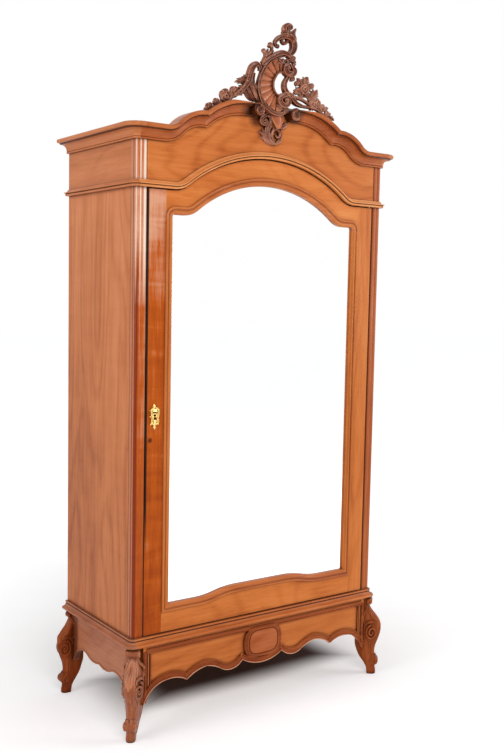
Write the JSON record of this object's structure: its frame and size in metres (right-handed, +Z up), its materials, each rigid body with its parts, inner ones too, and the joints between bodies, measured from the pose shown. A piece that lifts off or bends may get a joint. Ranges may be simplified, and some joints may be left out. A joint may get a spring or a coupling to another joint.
{
  "type": "bonnetiere cabinet",
  "caption": "Tall single-door wooden bonnetiere cabinet with an arched mirror door, moulded arched cornice, pierced carved crest, scalloped apron and carved cabriole legs.",
  "frame": {"origin": "On the floor, under the middle of the overall box.", "axes": "+Z is up. The mirror door faces -Y, so +Y points at the wall. +X is on the right of someone who faces the door."},
  "size_m": [1.222, 0.5692, 2.5231],
  "materials": {
    "cherry_wood": "waxed reddish-brown fruitwood, satin",
    "carved_wood": "carved fruitwood, darker in the hollows",
    "interior_wood": "plain unpolished secondary wood",
    "mirror_glass": "silvered plate glass with a bevelled edge",
    "brass": "polished yellow brass",
    "lock_steel": "dull iron lock works and screws"
  },
  "bodies": {
    "cabinet": {"architrave_front": "cherry_wood", "architrave_left": "cherry_wood", "architrave_right": "cherry_wood", "back_panel": "interior_wood", "base_moulding_front": "cherry_wood", "base_moulding_left": "cherry_wood", "base_moulding_right": "cherry_wood", "bottom_board": "interior_wood", "cabinet_screws": "lock_steel", "cornice_crown_left": "cherry_wood", "cornice_crown_right": "cherry_wood", "cornice_hump_left": "cherry_wood", "cornice_hump_right": "cherry_wood", "cornice_side_left": "cherry_wood", "cornice_side_right": "cherry_wood", "crest_pendant": "carved_wood", "crest_shell": "carved_wood", "crest_spray_left": "carved_wood", "crest_spray_right": "carved_wood", "crest_top_scroll": "carved_wood", "frieze_front": "cherry_wood", "frieze_left": "cherry_wood", "frieze_right": "cherry_wood", "front_apron": "cherry_wood", "front_post_left": "cherry_wood", "front_post_right": "cherry_wood", "leg_front_left": "carved_wood", "leg_front_right": "carved_wood", "leg_rear_left": "carved_wood", "leg_rear_right": "carved_wood", "pivot_lower": "brass", "pivot_upper": "brass", "rear_post_left": "interior_wood", "rear_post_right": "interior_wood", "shelf_cleats": "interior_wood", "shelf_lower": "interior_wood", "shelf_middle": "interior_wood", "shelf_upper": "interior_wood", "side_apron_left": "cherry_wood", "side_apron_right": "cherry_wood", "side_panel_left": "cherry_wood", "side_panel_right": "cherry_wood", "strike_plate": "brass", "top_board": "interior_wood"},
    "door": {"door_bottom_rail": "cherry_wood", "door_pivot_plates": "brass", "door_screws": "lock_steel", "door_stile_left": "cherry_wood", "door_stile_right": "cherry_wood", "door_top_rail": "cherry_wood", "escutcheon": "brass", "escutcheon_pins": "brass", "lock_case": "lock_steel", "mirror_backboard": "interior_wood", "mirror_moulding_bottom": "cherry_wood", "mirror_moulding_left": "cherry_wood", "mirror_moulding_right": "cherry_wood", "mirror_moulding_top": "cherry_wood", "mirror_plate": "mirror_glass"},
    "lock_bolt": {"lock_bolt": "lock_steel"}
  },
  "joints": [
    {"name": "door_hinge", "type": "hinge", "parent": "cabinet", "child": "door", "pos_m": [0.4965, -0.22443, 0.357], "axis": [0, 0, 1], "range_deg": [0, 110]},
    {"name": "lock_bolt_slide", "type": "slide", "parent": "door", "child": "lock_bolt", "axis": [-1, 0, 0], "range_m": [0, 0.012]}
  ]
}
